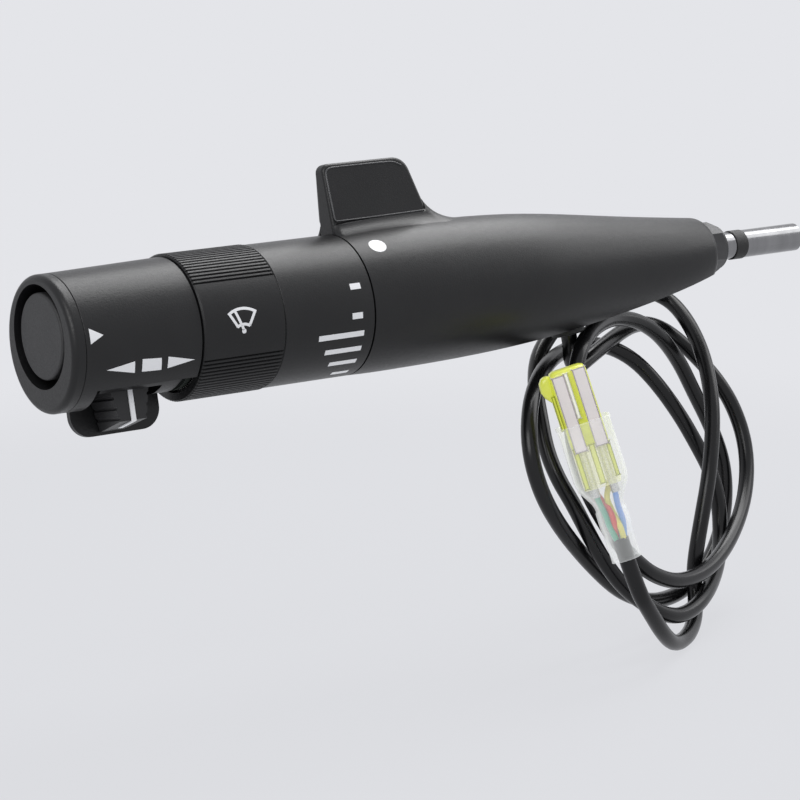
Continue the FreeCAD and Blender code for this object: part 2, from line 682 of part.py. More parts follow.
core = turned("core_blank", [
    ("0", "0"),
    ("0", "cap_bore - fit_gap"),
    ("core_end_x - core_x", "cap_bore - fit_gap"),
    ("core_end_x - core_x", "tube_bore - fit_gap"),
    ("core_end_x - core_x + 9", "tube_bore - fit_gap"),
    ("core_end_x - core_x + 9", "0"),
], x="core_x")
guard_plate = block("guard_plate", "guard_width", "guard_thick", "guard_reach - window_height - 0.3",
                    x="axle_x + 1.9 - guard_width / 2", y="knob_depth - knob_front + 2 * run_gap",
                    z="-axis_drop - guard_reach")
guard = rounded(
    "guard_corners", guard_plate,
    lambda edge: edge.BoundBox.YLength > 1 and edge.BoundBox.XLength < 0.01 and edge.BoundBox.ZLength < 0.01
    and edge.BoundBox.ZMax < -size("axis_drop") - size("guard_reach") + 0.01,
    5.5,
)
guard = cut("guard_clear", guard, rod("tube_room", "cap_bore + run_gap", "10",
                                       x="core_end_x", z="-axis_drop", along="X"))
core_slotted = cut(
    "core_slotted", core,
    block("knob_slot", "axle_x - core_x + 10", "knob_depth + 3.5 * run_gap", "cap_bore",
          x="core_x - 1", y="-knob_front - 2.5 * run_gap", z="axle_z + 3.6 - cap_bore"),
    block("switch_room", "button_travel + 11.5", "12.4", "11.4", x="core_x - 1", y="-6.2", z="-2.8"),
    rod("wire_way", "4", "40", x="core_x + 8", z="3", along="X"),
)
keep("selector_housing", cut(
    "selector_housing_body",
    fuse("core_guarded", core_slotted, guard),
    rod("axle_seat", "axle_radius + 0.01", "2 * cap_bore", x="axle_x", y="-cap_bore", z="axle_z", along="Y"),
    across("screw_hole_core", SCREW_RADIUS + 0.05, 4 * reach, -2 * reach),
))
keep("selector_axle", rod("selector_axle", "axle_radius", "22", x="axle_x", y="-11", z="axle_z", along="Y"))

screws = []
for number, side in enumerate((-1, 1)):
    start = -reach + 0.3 if side < 0 else 5.0
    screws.append(across(f"screw{number}", SCREW_RADIUS, reach - 5.3, start))
keep("head_screws", doc.addObject("Part::Compound", "head_screws")).Links = screws

knob_body = doc.addObject("PartDesign::Body", "knob_body")
knob_profile = draw(knob_body, "knob_profile", "XZ_Plane", [
    ("-2.6", "0"),
    ("2.6", "0"),
    ("2.6", "-knob_top"),
    ("knob_width / 2", "-knob_top"),
    ("knob_tip / 2", "-knob_reach"),
    ("-knob_tip / 2", "-knob_reach"),
    ("-knob_width / 2", "-knob_top"),
    ("-2.6", "-knob_top"),
])
knob_pad = knob_body.newObject("PartDesign::Pad", "knob_pad")
knob_pad.Profile = knob_profile
knob_pad.setExpression("Length", bound("knob_depth"))
place(knob_body, x="axle_x", y="knob_depth - knob_front", z="axle_z")
slope = math.degrees(math.atan(size("knob_slope") / size("knob_depth")))
knob_z = size("axle_z") - size("knob_reach")
knob_back = size("knob_depth") - size("knob_front")
slope_cut = doc.addObject("Part::Box", "slope_cut")
slope_cut.Length = 30
slope_cut.Width = 30
slope_cut.Height = 10
slope_turn = Rotation(Vector(1, 0, 0), -slope)
slope_corner = Vector(size("axle_x") - 15, knob_back, knob_z) + slope_turn.multVec(Vector(0, -30, -10))
slope_cut.Placement = Placement(slope_corner, slope_turn)
KNOB_GROOVES = 3
GROOVE_START = 3.0
GROOVE_PITCH = 2.6
GROOVE_RADIUS = 0.55
grip_cuts = []
lean = (size("knob_width") - size("knob_tip")) / 2 / (size("knob_reach") - size("knob_top"))
for side in (-1, 1):
    for row in range(KNOB_GROOVES):
        depth = GROOVE_START + GROOVE_PITCH * row
        half = size("knob_width") / 2 - lean * depth
        grip_cuts.append(rod(
            f"knob_groove{row}{'a' if side < 0 else 'b'}", str(GROOVE_RADIUS), "2 * knob_depth",
            x=f"axle_x + {side * (half + 0.15)}", y="-knob_depth", z=f"axle_z - knob_top - {depth}", along="Y"))
knob = cut(
    "knob_cut",
    fuse("knob_hubbed", knob_body, rod("knob_hub", "3.3", "knob_depth", x="axle_x", y="-knob_front", z="axle_z", along="Y")),
    rod("knob_bore", "axle_radius + turn_gap", "2 * knob_depth", x="axle_x", y="-knob_depth", z="axle_z", along="Y"),
    slope_cut, *grip_cuts,
)
keep("selector_knob", knob)

POINTER_WIDTH = 1.3
POINTER_THICK = 0.3
pointer_high = size("knob_reach") - size("knob_top") - size("knob_slope")
face_strip = Part.makeBox(POINTER_WIDTH, POINTER_THICK, pointer_high + POINTER_THICK,
                          Vector(-POINTER_WIDTH / 2, -size("knob_front") - POINTER_THICK - 0.02,
                                 -size("knob_top") - pointer_high - POINTER_THICK))
tip_strip = Part.makeBox(POINTER_WIDTH, 8.0, POINTER_THICK, Vector(-POINTER_WIDTH / 2, 0, -POINTER_THICK - 0.02))
tip_strip.rotate(Vector(0, 0, 0), Vector(1, 0, 0), -slope)
tip_strip.translate(Vector(0, -size("knob_front") - POINTER_THICK - 0.02, -size("knob_top") - pointer_high))
pointer = doc.addObject("Part::Feature", "selector_pointer")
pointer.Shape = face_strip.fuse(tip_strip).removeSplitter()
pointer.Placement = Placement(Vector(size("axle_x"), 0, size("axle_z")), Rotation())
keep("selector_pointer", pointer)

# Plug, boot and cable. Their places are the points of the hanging cable's route, in millimetres.

PLUG_TOP = Vector(-87.2, -24.5, -26.9)
PLUG_TAIL = Vector(-77.6, -27.5, -80.0)
COIL_CENTRE = Vector(-50.3, 5.7, -62.0)
COIL_ACROSS = Vector(0.934, 0.353, 0.055)
COIL_DOWN = Vector(0.07, -0.03, -0.997)
COIL_HALF_WIDTH = 56.0
COIL_HALF_HEIGHT = 43.0
COIL_BAND = 21.0
COIL_THICK = 17.0
COIL_ROUND = 6.5
plug_down = (PLUG_TAIL - PLUG_TOP).normalize()
sight = Vector(0.56, 0.82, -0.05)
plug_across = plug_down.cross(sight).normalize() * -1
plug_turn = Rotation(plug_across, Vector(), plug_down, "XZY")
boot_end = (PLUG_TAIL - PLUG_TOP).Length


def at_plug(node, shape):
    """A solid of the plug, made with its own Z down the plug."""
    obj = doc.addObject("Part::Feature", node)
    obj.Shape = shape
    obj.Placement = Placement(PLUG_TOP, plug_turn)
    return keep(node, obj)


def slab(width, depth, z, corner):
    """A rounded rectangle across the plug at one height."""
    half_width = width / 2 - corner
    half_depth = depth / 2 - corner
    edges = []
    corners = ((1, 1, 0), (-1, 1, 90), (-1, -1, 180), (1, -1, 270))
    for number, (side, face, angle) in enumerate(corners):
        middle = Vector(side * half_width, face * half_depth, z)
        edges.append(Part.makeCircle(corner, middle, Vector(0, 0, 1), angle, angle + 90))
        after = corners[(number + 1) % 4]
        turn = math.radians(angle + 90)
        leave = middle + Vector(corner * math.cos(turn), corner * math.sin(turn), 0)
        next_middle = Vector(after[0] * half_width, after[1] * half_depth, z)
        arrive = next_middle + Vector(corner * math.cos(turn), corner * math.sin(turn), 0)
        edges.append(Part.makeLine(leave, arrive))
    return Part.Wire(edges)


width, depth, length = size("plug_width"), size("plug_depth"), size("plug_length")
plug = Part.makeLoft([slab(width, depth, 0, 1.2), slab(width, depth, length, 1.2)], True, True)
LATCH_CORNER = 0.8
LATCH_DEPTH = 5.5
LATCH_STEPS = ((0.8, 4.4), (4.0, 5.4), (7.5, 4.4))
LATCH_OUT = 0.6
ARM_THICK = 1.2
ARM_WIDE = 5.0
ARM_LONG = 8.4
ARM_START = 6.0
latch_sections = [slab(wide, LATCH_DEPTH, z, LATCH_CORNER) for z, wide in LATCH_STEPS]
latch = Part.makeLoft(latch_sections, True, True)
latch.translate(Vector(width / 2 + LATCH_OUT, 0, 0))
arm_corner = Vector(width / 2 - 0.1, -ARM_WIDE / 2, ARM_START)
arm = Part.makeBox(ARM_THICK, ARM_WIDE, ARM_LONG, arm_corner)
plug = plug.fuse([latch, arm]).removeSplitter()
CELL = 2.6
CELL_ACROSS = 2.7
CELL_BACK = 2.1
CHANNEL_WIDE = 3.2
CHANNEL_DEEP = 0.6
CHANNEL_LONG = 22.0
cells = []
for column in (1, -1):
    for line in (-1, 1):
        cells.append(Vector(column * CELL_ACROSS, line * CELL_BACK, 0))
for cell in cells:
    plug = plug.cut(Part.makeBox(CELL, CELL, length + 2, cell + Vector(-CELL / 2, -CELL / 2, -1)))
for column in (-1, 1):
    corner = Vector(column * 2.9 - CHANNEL_WIDE / 2, -depth / 2 - 1, 1.5)
    plug = plug.cut(Part.makeBox(CHANNEL_WIDE, CHANNEL_DEEP + 1, CHANNEL_LONG, corner))
at_plug("plug_housing", plug)

TERMINAL_START = 16.0
TERMINAL_END = length + 2.5
BARREL_RADIUS = 1.15
BARREL_BORE = 0.7
BARREL_DEEP = 5.0
terminals = []
for cell in cells:
    barrel = Part.makeCylinder(BARREL_RADIUS, TERMINAL_END - TERMINAL_START, cell + Vector(0, 0, TERMINAL_START))
    bore = Part.makeCylinder(BARREL_BORE, BARREL_DEEP, cell + Vector(0, 0, TERMINAL_END - BARREL_DEEP))
    terminals.append(barrel.cut(bore))
at_plug("crimp_terminals", Part.makeCompound(terminals))


def boot_skin(thin):
    """The boot's outer form, or its inside when thin is the wall."""
    wide = size("boot_width") - 2 * thin
    deep = size("boot_depth") - 2 * thin
    neck = 2 * (size("boot_neck") - thin)
    start = size("boot_start") - thin
    shoulder = length + 5.5
    sections = [
        slab(wide, deep, start, 2.2),
        slab(wide, deep, length - 1, 2.2),
        slab(neck + 0.6, neck + 0.6, shoulder, neck / 2 - 0.1),
        slab(neck, neck, boot_end + thin, neck / 2 - 0.1),
    ]
    return Part.makeLoft(sections, True, True)


at_plug("plug_boot", boot_skin(0).cut(boot_skin(size("boot_wall"))))

# Coloured wires from the terminals to the cable's cut end
CABLE_CUT = boot_end - 6.0


def tube(points, radius, label):
    """Straight runs joined by the largest arcs that the runs allow."""
    edges = []
    last = points[0]
    radii = []
    for before, corner, after in zip(points, points[1:], points[2:]):
        come = (corner - before).normalize()
        go = (after - corner).normalize()
        turn = come.getAngle(go)
        reach_back = 0.45 * min((corner - before).Length, (after - corner).Length)
        radii.append(round(reach_back / math.tan(turn / 2), 1))
        enter = corner - come * reach_back
        leave = corner + go * reach_back
        inward = (go - come).normalize()
        rise = radii[-1] * (1 / math.cos(turn / 2) - 1)
        edges.append(Part.makeLine(last, enter))
        edges.append(Part.Arc(enter, corner + inward * rise, leave).toShape())
        last = leave
    edges.append(Part.makeLine(last, points[-1]))
    path = Part.Wire(edges)
    normal = (points[1] - points[0]).normalize()
    section = Part.Wire(Part.makeCircle(radius, points[0], normal))
    solid = path.makePipeShell([section], True, True)
    expected = math.pi * radius ** 2 * path.Length
    print(label, "arc radii", radii, "length", round(path.Length, 1),
          "volume ratio", round(solid.Volume / expected, 4))
    return solid


wires = (("wire_green", 0, (0.9, -0.75)), ("wire_red", 1, (0.9, 0.75)),
         ("wire_blue", 2, (-0.8, -0.75)), ("wire_yellow", 3, (-0.8, 0.75)))
for node, index, (end_x, end_y) in wires:
    cell = cells[index]
    begin = cell + Vector(0, 0, TERMINAL_END - 4.6)
    finish = Vector(end_x, end_y, CABLE_CUT)
    route = [begin, cell + Vector(0, 0, TERMINAL_END + 1.6),
             Vector(end_x, end_y, CABLE_CUT - 5.2), finish]
    at_plug(node, tube(route, size("wire_radius"), node))

# The cable: inside the stalk, out of the grommet, in the coil, and on to the plug

cable = size("cable_radius")
exit_top = exit_point - exit_down * (GROMMET_IN - 0.35)
INNER_ROUTE = [
    Vector(-185.5, 0, 1.2), Vector(-166, 0.5, 0.2), Vector(-146, 0, -3), Vector(-126, -0.6, -6),
    Vector(-108, -0.4, -6.5), Vector(-92, 0.2, -4.5), Vector(-79, 0.8, -3.5),
    exit_top - exit_down * 8.5, exit_top - exit_down * 0.05,
]
inner_cable = doc.addObject("Part::Feature", "cable_inner")
inner_cable.Shape = tube(INNER_ROUTE, cable, "cable_inner")
keep("cable_inner", inner_cable)

COIL_TOUCH = 13.6
outlet = doc.addObject("Part::Feature", "cable_outlet")
outlet.Shape = Part.makeCylinder(cable, COIL_TOUCH, exit_top, exit_down)
keep("cable_outlet", outlet)

coil_normal = COIL_ACROSS.cross(COIL_DOWN).normalize()
coil_down = coil_normal.cross(COIL_ACROSS).normalize()
coil_turn = Rotation(COIL_ACROSS, coil_down, coil_normal, "XYZ")


def oval(half_width, half_height):
    """A flat oval disc as thick as the coil."""
    ring_edge = Part.Ellipse(Vector(0, 0, -COIL_THICK / 2), half_width, half_height)
    return Part.Face(Part.Wire(ring_edge.toShape())).extrude(Vector(0, 0, COIL_THICK))


coil_shape = oval(COIL_HALF_WIDTH, COIL_HALF_HEIGHT).cut(
    oval(COIL_HALF_WIDTH - COIL_BAND, COIL_HALF_HEIGHT - COIL_BAND))
coil_shape = coil_shape.makeFillet(COIL_ROUND, coil_shape.Edges)
coil = doc.addObject("Part::Feature", "cable_coil")
coil.Shape = coil_shape
coil.Placement = Placement(COIL_CENTRE, coil_turn)
keep("cable_coil", coil)

cable_start = PLUG_TOP + plug_down * CABLE_CUT
TAIL_ROUTE = [
    cable_start, PLUG_TAIL + plug_down * 6.0, Vector(-73.8, -25.5, -96.0), Vector(-67.0, -19.5, -105.5),
    Vector(-58.2, -9.5, -106.5), Vector(-50.4, -1.5, -100.5),
]
tail = doc.addObject("Part::Feature", "cable_tail")
tail.Shape = tube(TAIL_ROUTE, cable, "cable_tail")
keep("cable_tail", tail)

# Check every object, then write each sub-part

doc.recompute()
for obj in doc.Objects:
    if "Invalid" in obj.State or "Error" in obj.State:
        raise RuntimeError(f"{obj.Name} failed: {obj.State}")
os.makedirs("parts", exist_ok=True)
for node, obj in EXPORTS.items():
    if obj.Shape.isNull() or not obj.Shape.isValid():
        raise RuntimeError(f"{node} has no valid shape")
    obj.Shape.exportStep(f"parts/{node}.step")
    print(node, len(obj.Shape.Solids), round(obj.Shape.Volume, 1))
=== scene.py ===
import math

import bmesh
import bpy
from mathutils import Matrix, Vector
from mathutils.bvhtree import BVHTree


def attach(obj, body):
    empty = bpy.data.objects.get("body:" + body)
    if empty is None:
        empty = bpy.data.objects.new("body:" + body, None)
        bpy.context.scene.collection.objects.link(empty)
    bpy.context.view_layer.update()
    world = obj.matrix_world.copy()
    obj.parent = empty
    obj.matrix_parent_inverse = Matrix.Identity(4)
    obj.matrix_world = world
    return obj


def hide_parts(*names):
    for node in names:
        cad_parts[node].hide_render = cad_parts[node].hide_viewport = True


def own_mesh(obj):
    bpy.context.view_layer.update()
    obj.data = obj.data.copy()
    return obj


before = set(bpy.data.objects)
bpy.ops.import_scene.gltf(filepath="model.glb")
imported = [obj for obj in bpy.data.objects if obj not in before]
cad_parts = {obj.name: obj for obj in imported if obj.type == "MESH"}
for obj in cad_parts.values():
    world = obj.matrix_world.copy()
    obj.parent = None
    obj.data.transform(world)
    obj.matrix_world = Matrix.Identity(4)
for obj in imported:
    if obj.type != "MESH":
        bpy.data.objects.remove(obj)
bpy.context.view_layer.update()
MM = 0.001


def mm(x, y, z):
    """A point given in millimetres."""
    return Vector((x, y, z)) * MM


def added(name, data):
    """An object with that data, in the scene."""
    obj = bpy.data.objects.new(name, data)
    bpy.context.scene.collection.objects.link(obj)
    return obj


# Camera, at the photograph's viewing angle
CAMERA_AT = mm(-568.69, -665.84, -6.01)
CAMERA_RIGHT = Vector((0.82201, -0.55281, -0.13673))
CAMERA_UP = Vector((0.12980, -0.05189, 0.99018))
LENS_MM = 135.0
SENSOR_MM = 36.0
NEAREST_SEEN = 0.01

camera_data = bpy.data.cameras.new("camera")
camera_data.lens = LENS_MM
camera_data.sensor_width = SENSOR_MM
camera_data.clip_start = NEAREST_SEEN
camera = added("camera", camera_data)
camera_back = CAMERA_RIGHT.cross(CAMERA_UP).normalized()
camera_up = camera_back.cross(CAMERA_RIGHT).normalized()
camera_turn = Matrix((CAMERA_RIGHT.normalized(), camera_up, camera_back)).transposed()
camera.matrix_world = Matrix.Translation(CAMERA_AT) @ camera_turn.to_4x4()
bpy.context.scene.camera = camera
bpy.context.scene.view_settings.view_transform = "Standard"

# The plug's own axes, from its mating end to the end of its boot, in millimetres
PLUG_TOP = Vector((-87.2, -24.5, -26.9))
PLUG_TAIL = Vector((-77.6, -27.5, -80.0))
VIEWED_ALONG = Vector((0.56, 0.82, -0.05))
plug_down = (PLUG_TAIL - PLUG_TOP).normalized()
plug_across = -plug_down.cross(VIEWED_ALONG).normalized()
plug_back = plug_down.cross(plug_across).normalized()

# The cable leaves the grommet, in millimetres
CABLE_START = [
    (-65.5, 1.0, -16.9), (-65.0, 1.0, -20.9), (-63.6, 4.0, -26.0), (-59.5, 7.0, -28.4),
    (-53.5, 8.5, -26.0),
]
# About four loose turns, followed on an enlargement of the photograph: across, down, and how
# many millimetres nearer to the camera than the coil's middle plane
PHOTO_PIXELS = 800
ENLARGED_FROM = (510, 285)
ENLARGEMENT = 4.18
COIL_MIDDLE = Vector((-50.6, -2.0, -59.0))
COIL_FACING = Vector((0.33, -0.93, 0.12)).normalized()
COIL_POINTS = [
    (470, 188, -10.8), (545, 158, -11.3), (620, 172, -11), (697, 222, -9.8), (790, 310, -7.3),
    (868, 400, -5), (935, 510, -3.5), (982, 650, -2.5), (993, 800, -2), (968, 950, -1),
    (905, 1095, 1), (820, 1200, 2.5), (705, 1245, 3), (600, 1215, 3), (520, 1150, 2.99),
    (445, 1070, 2.5), (378, 965, 2), (318, 850, 1.5), (275, 720, 1), (255, 580, 1), (258, 450, 1.5),
    (275, 340, 2.5), (302, 245, 2.5), (350, 178, -1.5), (430, 135, -5), (530, 144, -5),
    (625, 205.5, -5.31), (705, 315, -7.5), (770, 450, -9), (835, 580, -9.5), (888, 720, -9.8),
    (903, 860, -10), (888, 1004.5, -10.3), (845, 1130, -10), (775, 1235, -10), (690, 1300, -9.3),
    (590, 1325, -8), (500, 1300, -7.8), (425, 1255, -7.8), (325, 1155, -7.2), (225, 1035, -5),
    (143, 900, -2.5), (92, 750, -1.2), (75, 600, -1.2), (92, 445, -2.8), (155, 320, -9),
    (250, 258, -15.8), (380, 243, -16.5), (505, 298, -13), (607, 400, -8.5), (708, 540, -6.5),
    (778, 660, -5), (840, 780, -4.8), (872, 900, -5.3), (880, 1040, -6), (868, 1180, -3.81),
    (815, 1310, 1.8), (725, 1385, 2.5), (640, 1378, 2.5), (555, 1330, 1.5), (462, 1250, 0),
    (385, 1145, -0.8), (320, 1025, -2.6), (262, 912, -4.5), (200, 810, -6), (152, 690, -8.01),
    (128, 560, -9.5), (104, 430, -12), (110, 305, -15.5), (170, 200, -16), (250, 110, -16),
    (380, 40, -17.2), (520, 15, -15), (650, 45, -10), (738, 140, -4), (808, 285, 1), (842, 450, 4),
    (848, 600, 4.5), (832, 800, 4), (805, 950, 1.5), (780, 1100, -1.5), (768, 1200, -4.2),
    (776, 1300, -5.3), (772, 1400, -3.5), (745, 1470, 0), (690, 1505, 2.99), (640, 1460, 7),
    (585, 1365, 10.5),
]
# The last two points lie past the boot's end and inside the boot, in millimetres from that end
CABLE_FINISH = (9.0, -6.0)
CABLE_DIAMETER = 0.0045

CURVE_ORDER = 3
CORD_STEPS = 6


def to_tenths(place):
    """A place rounded to tenths of a millimetre."""
    return tuple(round(value, 1) for value in place)


def seen_at(across, down, nearer):
    """The point that the camera sees at that place of the enlargement."""
    pixels_away = PHOTO_PIXELS * LENS_MM / SENSOR_MM
    right = (ENLARGED_FROM[0] + across / ENLARGEMENT - PHOTO_PIXELS / 2) / pixels_away
    below = (ENLARGED_FROM[1] + down / ENLARGEMENT - PHOTO_PIXELS / 2) / pixels_away
    sight = camera_turn @ Vector((right, -below, -1))
    eye = CAMERA_AT / MM
    far = (nearer - (eye - COIL_MIDDLE).dot(COIL_FACING)) / sight.dot(COIL_FACING)
    return to_tenths(eye + sight * far)


coil = [seen_at(*point) for point in COIL_POINTS]
finish = [to_tenths(PLUG_TAIL + plug_down * along) for along in CABLE_FINISH]
cable_route = CABLE_START + coil + finish


def add_line(curve, places):
    """A smooth line of the curve with those control points, in millimetres."""
    line = curve.splines.new("NURBS")
    line.points.add(len(places) - 1)
    for point, place in zip(line.points, places):
        point.co = (*mm(*place), 1.0)
    line.order_u = CURVE_ORDER
    line.use_endpoint_u = True
    return line


def round_curve(name, radius, fineness):
    """An empty curve that is round and closed at its ends."""
    curve = bpy.data.curves.new(name, "CURVE")
    curve.dimensions = "3D"
    curve.bevel_depth = radius
    curve.bevel_resolution = fineness
    curve.use_fill_caps = True
    return curve


def smooth_cord(name, points, diameter):
    """A cable on one smooth line with those control points."""
    curve = round_curve(name, diameter / 2, CORD_STEPS)
    add_line(curve, points).resolution_u = CORD_STEPS
    return added(name, curve)


def curve_length(obj):
    """Length of a curve's own line."""
    plain = obj.data.copy()
    plain.bevel_depth = 0
    holder = added("measure", plain)
    mesh = bpy.data.meshes.new_from_object(holder)
    places = [vertex.co.copy() for vertex in mesh.vertices]
    bpy.data.objects.remove(holder)
    return sum((b - a).length for a, b in zip(places, places[1:]))


# Materials, from procedural noise
NOISE_LOW, NOISE_HIGH = 0.3, 0.7
CLOUD_SCALE, CLOUD_DETAIL = 60.0, 4.0
GRAIN_DETAIL = 3.0
FILM_GRAIN, FILM_DEPTH, FILM_SPREAD = 500, 0.00001, 0.03
FILM_EDGE_BLEND = 0.4


def new_finish(name):
    """A new material, its node tree and its shader."""
    material = bpy.data.materials.new(name)
    material.use_nodes = True
    tree = material.node_tree
    return material, tree, tree.nodes["Principled BSDF"]


def noise(tree, mapping, scale, detail):
    """How high a noise is at each place of the object."""
    texture = tree.nodes.new("ShaderNodeTexNoise")
    texture.inputs["Scale"].default_value = scale
    texture.inputs["Detail"].default_value = detail
    tree.links.new(mapping.outputs["Vector"], texture.inputs["Vector"])
    return texture.outputs["Fac"]


def ranged(tree, value, source, target):
    """A node that carries a value from the source range to the target range."""
    node = tree.nodes.new("ShaderNodeMapRange")
    for side, ends in (("From", source), ("To", target)):
        node.inputs[side + " Min"].default_value = ends[0]
        node.inputs[side + " Max"].default_value = ends[1]
    tree.links.new(value, node.inputs["Value"])
    return node


def grained(name, dark, light, rough, grain, depth, stretch=(1, 1, 1), metallic=0.0, rough_spread=0.08,
            shine=0.5):
    """A finish whose colour, roughness and fine relief vary over the surface."""
    material, tree, shader = new_finish(name)
    place = tree.nodes.new("ShaderNodeTexCoord")
    mapping = tree.nodes.new("ShaderNodeMapping")
    mapping.inputs["Scale"].default_value = stretch
    tree.links.new(place.outputs["Object"], mapping.inputs["Vector"])
    fine = noise(tree, mapping, grain, GRAIN_DETAIL)
    broad = noise(tree, mapping, CLOUD_SCALE, CLOUD_DETAIL)
    tint = tree.nodes.new("ShaderNodeValToRGB")
    for end, at, colour in zip(tint.color_ramp.elements, (NOISE_LOW, NOISE_HIGH), (dark, light)):
        end.position = at
        end.color = (*colour, 1)
    tree.links.new(broad, tint.inputs["Fac"])
    tree.links.new(tint.outputs["Color"], shader.inputs["Base Color"])
    gloss = ranged(tree, fine, (NOISE_LOW, NOISE_HIGH), (rough - rough_spread, rough + rough_spread))
    tree.links.new(gloss.outputs["Result"], shader.inputs["Roughness"])
    relief = tree.nodes.new("ShaderNodeBump")
    relief.inputs["Strength"].default_value = 1.0
    relief.inputs["Distance"].default_value = depth
    tree.links.new(fine, relief.inputs["Height"])
    tree.links.new(relief.outputs["Normal"], shader.inputs["Normal"])
    shader.inputs["Metallic"].default_value = metallic
    shader.inputs["Specular IOR Level"].default_value = shine
    return material


def film(name, dark, light, rough, flat, edge, painted_glow):
    """A clear thin plastic, milkier where it turns away; flat and edge are how much it hides.

    The last argument is a painted glow: the share of its colour that it emits, standing in for light
    passing through it.
    """
    material = grained(name, dark, light, rough, FILM_GRAIN, FILM_DEPTH, rough_spread=FILM_SPREAD)
    tree = material.node_tree
    away = tree.nodes.new("ShaderNodeLayerWeight")
    away.inputs["Blend"].default_value = FILM_EDGE_BLEND
    cover = ranged(tree, away.outputs["Facing"], (0, 1), (flat, edge))
    shader = tree.nodes["Principled BSDF"]
    tree.links.new(cover.outputs["Result"], shader.inputs["Alpha"])
    # Painted glow: the film emits its light colour, standing in for light shining through it
    shader.inputs["Emission Color"].default_value = (*light, 1)
    shader.inputs["Emission Strength"].default_value = painted_glow
    return material


HOUSING = grained("satin_black", (0.006, 0.006, 0.0065), (0.010, 0.010, 0.0105),
                  0.38, 2600, 0.00004, shine=0.34)
GRIP = grained("ribbed_black", (0.005, 0.005, 0.0055), (0.009, 0.009, 0.0095),
               0.42, 2600, 0.00003, shine=0.32)
BUTTON = grained("dull_grey", (0.030, 0.030, 0.031), (0.038, 0.038, 0.039),
                 0.55, 3200, 0.00005, shine=0.4)
KNOB = grained("knob_grey", (0.014, 0.014, 0.0145), (0.024, 0.024, 0.025),
               0.40, 2600, 0.00003, shine=0.34)
WHITE = grained("printed_white", (0.93, 0.93, 0.94), (0.97, 0.97, 0.98), 0.45, 3000, 0.00001)
INNER = grained("natural_dark", (0.05, 0.05, 0.052), (0.07, 0.07, 0.072), 0.5, 1800, 0.00003)
STEEL = grained("turned_steel", (0.20, 0.20, 0.205), (0.26, 0.26, 0.265), 0.15, 500, 0.000002,
                stretch=(3, 0.15, 0.15), metallic=1.0, rough_spread=0.03)
DARK_STEEL = grained("blackened_steel", (0.06, 0.06, 0.061), (0.09, 0.09, 0.091), 0.36, 1500, 0.00002,
                     metallic=0.9)
BRASS = grained("plain_brass", (0.55, 0.40, 0.16), (0.66, 0.49, 0.22), 0.35, 1200, 0.00002,
                metallic=1.0)
TINNED = grained("tinned", (0.55, 0.55, 0.55), (0.75, 0.75, 0.74), 0.28, 1600, 0.00003, metallic=1.0)
BOARD = grained("laminate", (0.012, 0.016, 0.013), (0.02, 0.026, 0.021), 0.4, 900, 0.00002)
RUBBER = grained("dull_rubber", (0.004, 0.004, 0.004), (0.007, 0.007, 0.007), 0.55, 1800, 0.00004)
CABLE = grained("smooth_jacket", (0.004, 0.004, 0.0045), (0.007, 0.007, 0.0075), 0.24, 900, 0.000002,
                rough_spread=0.02, shine=0.32)
# Clear plastics; the last number of each is its painted glow, standing in for light shining through it
PLUG = film("lime_clear", (0.74, 0.80, 0.06), (0.84, 0.88, 0.16), 0.20, 0.90, 1.0, 0.08)
PLUG_BODY = film("pale_clear", (0.88, 0.88, 0.50), (0.95, 0.95, 0.66), 0.18, 0.24, 0.75, 0.22)
BOOT = film("boot_clear", (0.90, 0.92, 0.90), (0.97, 0.98, 0.97), 0.12, 0.12, 0.58, 0.22)
LILAC = film("channel_grey", (0.76, 0.70, 0.72), (0.88, 0.83, 0.85), 0.24, 0.90, 1.0, 0.14)
RIDGE = film("ridge_white", (0.84, 0.84, 0.72), (0.95, 0.95, 0.88), 0.22, 0.92, 1.0, 0.22)
WIRES = {
    "wire_green": grained("green_wire", (0.02, 0.34, 0.20), (0.05, 0.46, 0.29), 0.35, 1500, 0.00001),
    "wire_red": grained("red_wire", (0.72, 0.03, 0.02), (0.85, 0.06, 0.04), 0.35, 1500, 0.00001),
    "wire_yellow": grained("yellow_wire", (0.86, 0.78, 0.10), (0.95, 0.88, 0.22), 0.35, 1500, 0.00001),
    "wire_blue": grained("blue_wire", (0.04, 0.25, 0.80), (0.10, 0.38, 0.95), 0.35, 1500, 0.00001),
}
FINISHES = {
    "housing_plastic": HOUSING,
    "grip_plastic": GRIP,
    "button_plastic": BUTTON,
    "knob_plastic": KNOB,
    "pointer_white": WHITE,
    "inner_plastic": INNER,
    "rod_steel": STEEL,
    "nut_steel": DARK_STEEL,
    "sleeve_brass": BRASS,
    "contact_metal": TINNED,
    "board_laminate": BOARD,
    "seal_rubber": RUBBER,
    "cable_jacket": CABLE,
    "plug_clear": PLUG_BODY,
    "boot_clear": BOOT,
    **WIRES,
}
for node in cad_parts.values():
    for holder in node.material_slots:
        slot_name = holder.material.name.split(".")[0]
        holder.material = FINISHES[slot_name]


def give(obj, body, material):
    """A new piece gets its material and slot and rides on its body."""
    obj.data.materials.append(material)
    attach(obj, body)
    return obj


# Cable
cable = smooth_cord("cable", cable_route, CABLE_DIAMETER)
give(cable, "stalk", CABLE)
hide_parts("cable_outlet", "cable_coil", "cable_tail")

# Printed marks, as thin raised patches on the surface that carries them. A place on it is how far along
# the stalk in millimetres, and an angle up from -Y in degrees, of which about three make a millimetre.
TUBE_AXIS_Z = -2.0
RAY_START = 0.05
PRINT_PROUD = 0.05
PRINT_SUNK = 0.08
CELL = 0.45
DEGREES_PER_MM = 3
SAME_PLACE = 1e-7


def surface(*names):
    """What a ray towards the tube's axis meets first on those CAD nodes."""
    vertices, faces = [], []
    for name in names:
        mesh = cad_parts[name].data
        start = len(vertices)
        vertices += [vertex.co.copy() for vertex in mesh.vertices]
        faces += [[start + index for index in face.vertices] for face in mesh.polygons]
    return BVHTree.FromPolygons(vertices, faces)


